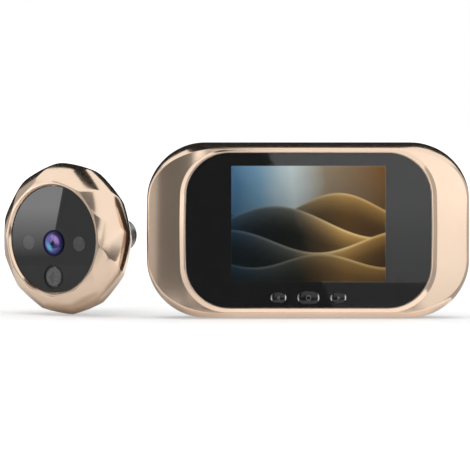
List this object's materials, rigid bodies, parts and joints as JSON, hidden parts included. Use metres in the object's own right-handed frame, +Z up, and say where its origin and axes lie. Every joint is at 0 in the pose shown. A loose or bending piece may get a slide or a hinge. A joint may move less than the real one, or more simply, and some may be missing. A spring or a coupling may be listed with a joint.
{
  "type": "peephole door camera",
  "caption": "Door viewer in two units: a round faceted outdoor camera with lens, infrared lamps and bell button, and a rounded indoor monitor with display and keys.",
  "frame": {"origin": "on the floor, under the middle of the box round both units as they stand side by side", "axes": "+X to the right along the monitor, +Y away from the viewer, from the monitor's display to its back, +Z up"},
  "size_m": [0.1777, 0.0596, 0.066],
  "materials": {
    "gold_metal": "satin",
    "grey_plastic": "matte",
    "black_window": "gloss",
    "black_plastic": "satin",
    "grey_button": "matte",
    "display": "gloss",
    "steel": "brushed",
    "barrel_metal": "satin",
    "green_board": "satin",
    "chip_black": "matte",
    "lens_glass": "gloss",
    "lamp_window": "satin",
    "battery_skin": "gloss",
    "soft_rubber": "matte",
    "paper_cone": "matte",
    "white_knob": "matte"
  },
  "bodies": {
    "monitor": {"front_shell": "gold_metal", "rear_shell": "grey_plastic", "case_screws": "steel", "window_panel": "black_window", "window_mask": "black_plastic", "display_bezel": "steel", "display_glass": "display", "display_backlight": "black_plastic", "display_pad": "soft_rubber", "main_board": "green_board", "board_chips": "chip_black", "board_screws": "steel", "ribbon_board": "green_board", "ribbon_socket": "black_plastic", "board_link": "black_plastic", "speaker_frame": "steel", "speaker_cone": "paper_cone", "speaker_gasket": "soft_rubber", "power_switch": "black_plastic", "key_switch_left": "chip_black", "key_switch_middle": "chip_black", "key_switch_right": "chip_black", "battery_cell_left": "battery_skin", "battery_cell_middle": "battery_skin", "battery_cell_right": "battery_skin", "plate_contacts": "steel", "leaf_contacts": "steel"},
    "camera_unit": {"camera_shell": "gold_metal", "camera_face": "black_window", "lens_barrel": "black_plastic", "front_glass": "lens_glass", "lens_iris": "black_plastic", "rear_glass": "lens_glass", "lens_holder": "black_plastic", "infrared_filter": "lens_glass", "image_sensor": "chip_black", "bell_ring": "black_plastic", "bell_switch": "chip_black", "camera_board": "green_board", "camera_chip": "chip_black", "camera_plug": "black_plastic", "camera_board_screws": "steel", "camera_base": "black_plastic", "base_screws": "steel", "door_barrel": "barrel_metal", "barrel_screws": "steel", "base_gasket": "soft_rubber", "lamp_window_left": "lamp_window", "lamp_window_right": "lamp_window", "infrared_lamp_left": "lamp_window", "infrared_lamp_right": "lamp_window"},
    "bell_button": {"bell_button": "grey_button"},
    "key_left": {"key_left": "black_plastic"},
    "key_middle": {"key_middle": "black_plastic"},
    "key_right": {"key_right": "black_plastic"},
    "power_knob": {"power_knob": "white_knob"},
    "battery_door": {"battery_door": "grey_plastic"},
    "wall_bracket": {"wall_bracket": "steel"}
  },
  "joints": [
    {"name": "camera_lift", "type": "slide", "parent": "monitor", "child": "camera_unit", "axis": [0, 0, 1], "range_m": [0, 0.08]},
    {"name": "bell_press", "type": "slide", "parent": "camera_unit", "child": "bell_button", "axis": [0.5779, 0.8161, 0], "range_m": [0, 0.0005], "stiffness_N_per_m": 3500},
    {"name": "key_left_press", "type": "slide", "parent": "monitor", "child": "key_left", "axis": [0, 1, 0], "range_m": [0, 0.0004], "stiffness_N_per_m": 3000},
    {"name": "key_middle_press", "type": "slide", "parent": "monitor", "child": "key_middle", "axis": [0, 1, 0], "range_m": [0, 0.0004], "stiffness_N_per_m": 3000},
    {"name": "key_right_press", "type": "slide", "parent": "monitor", "child": "key_right", "axis": [0, 1, 0], "range_m": [0, 0.0004], "stiffness_N_per_m": 3000},
    {"name": "power_slide", "type": "slide", "parent": "monitor", "child": "power_knob", "axis": [1, 0, 0], "range_m": [0, 0.002]},
    {"name": "battery_door_slide", "type": "slide", "parent": "monitor", "child": "battery_door", "axis": [0, 0, 1], "range_m": [0, 0.062]},
    {"name": "bracket_slide", "type": "slide", "parent": "monitor", "child": "wall_bracket", "axis": [0, 0, -1], "range_m": [0, 0.0064]}
  ]
}
